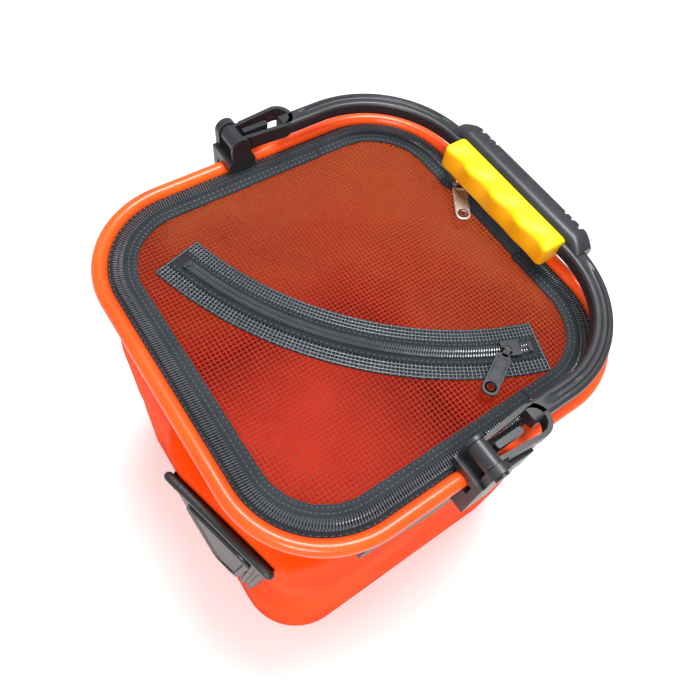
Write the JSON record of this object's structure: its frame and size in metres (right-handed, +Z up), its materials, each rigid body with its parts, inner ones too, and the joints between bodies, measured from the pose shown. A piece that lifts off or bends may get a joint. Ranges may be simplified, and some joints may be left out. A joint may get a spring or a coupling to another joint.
{
  "type": "folding bucket with zipped mesh lid",
  "caption": "Square folding EVA bucket with a round-cornered rim, zipped net lid with a bowed second zip, folding bail handle on snap hooks and a moulded side pocket.",
  "frame": {"origin": "centre of the base on the floor", "axes": "+Z up; the handle lies folded over the +Y side and the moulded pocket is on the -Y wall; the anchors are on the -X and +X sides"},
  "size_m": [0.2676, 0.2714, 0.2755],
  "materials": {
    "eva_wall": "smooth satin EVA sheet",
    "eva_bead": "glossy EVA piping",
    "steel_hoop": "spring steel",
    "zip_tape": "woven polyester tape",
    "zip_coil": "nylon coil",
    "hinge_cloth": "woven polyester",
    "net": "open knotted net",
    "strip_net": "coarse woven mesh",
    "black_plastic": "moulded plastic, light sheen",
    "yellow_rubber": "smooth rubber",
    "pocket_eva": "glossy moulded EVA",
    "patch": "textured reinforcement",
    "nickel": "nickel plate",
    "black_metal": "black enamel"
  },
  "bodies": {
    "bucket": {"bucket_wall": "eva_wall", "base_panel": "eva_wall", "rim_bead": "eva_bead", "rim_hoop": "steel_hoop", "rim_zip_tape": "zip_tape", "rim_zip_coil": "zip_coil", "rim_zip_stop": "nickel", "lid_hinge_cloth": "hinge_cloth", "lid_mesh_rear": "net", "lid_tape_rear": "zip_tape", "lid_coil_rear": "zip_coil", "anchor_left": "black_plastic", "anchor_right": "black_plastic", "pivot_pin_left": "black_plastic", "pivot_pin_right": "black_plastic", "wall_patch_left": "patch", "wall_patch_right": "patch", "pocket_shell": "pocket_eva", "pocket_lip": "pocket_eva", "pocket_frame": "pocket_eva", "pocket_panel": "pocket_eva"},
    "lid": {"lid_mesh_front": "net", "lid_tape_front": "zip_tape", "lid_coil_front": "zip_coil", "mid_strip": "strip_net", "mid_zip_tape": "zip_tape", "mid_zip_coil_inner": "zip_coil", "mid_zip_coil_outer": "zip_coil", "mid_zip_stop_lower": "black_metal", "mid_zip_stop_upper": "black_metal"},
    "handle": {"bail_bar": "black_plastic", "snap_hook_left": "black_plastic", "snap_hook_right": "black_plastic", "grip_shell": "black_plastic", "grip_insert": "yellow_rubber"},
    "gate_left": {"hook_gate_left": "black_plastic"},
    "gate_right": {"hook_gate_right": "black_plastic"},
    "rim_slider": {"rim_slider": "nickel"},
    "rim_tab": {"rim_pull_tab": "nickel"},
    "mid_slider": {"mid_slider": "black_metal"},
    "mid_tab": {"mid_pull_tab": "black_metal"}
  },
  "joints": [
    {"name": "handle_fold", "type": "hinge", "parent": "bucket", "child": "handle", "pos_m": [0, -0.009, 0.266], "axis": [1, 0, 0], "range_deg": [0, 180]},
    {"name": "lid_fold", "type": "hinge", "parent": "bucket", "child": "lid", "pos_m": [0, 0.078, 0.2458], "axis": [-1, 0, 0], "range_deg": [0, 95]},
    {"name": "rim_slider_run", "type": "slide", "parent": "bucket", "child": "rim_slider", "axis": [-1, 0, 0], "range_m": [0, 0.024]},
    {"name": "rim_tab_lift", "type": "hinge", "parent": "rim_slider", "child": "rim_tab", "pos_m": [-0.034, 0.1058, 0.251], "axis": [-0.5446, -0.8387, 0], "range_deg": [0, 14]},
    {"name": "mid_slider_run", "type": "hinge", "parent": "lid", "child": "mid_slider", "pos_m": [-0.1292, 0.1439, 0.2482], "axis": [0, 0, -1], "range_deg": [0, 46]},
    {"name": "mid_tab_lift", "type": "hinge", "parent": "mid_slider", "child": "mid_tab", "pos_m": [0.0779, 0.0501, 0.2513], "axis": [-0.8829, -0.4695, 0], "range_deg": [0, 150]},
    {"name": "gate_left_press", "type": "hinge", "parent": "handle", "child": "gate_left", "pos_m": [-0.12015, -0.0029, 0.266], "axis": [0, 0, 1], "range_deg": [0, 8], "stiffness_Nm_per_rad": 0.05},
    {"name": "gate_right_press", "type": "hinge", "parent": "handle", "child": "gate_right", "pos_m": [0.12015, -0.0029, 0.266], "axis": [0, 0, -1], "range_deg": [0, 8], "stiffness_Nm_per_rad": 0.05}
  ]
}
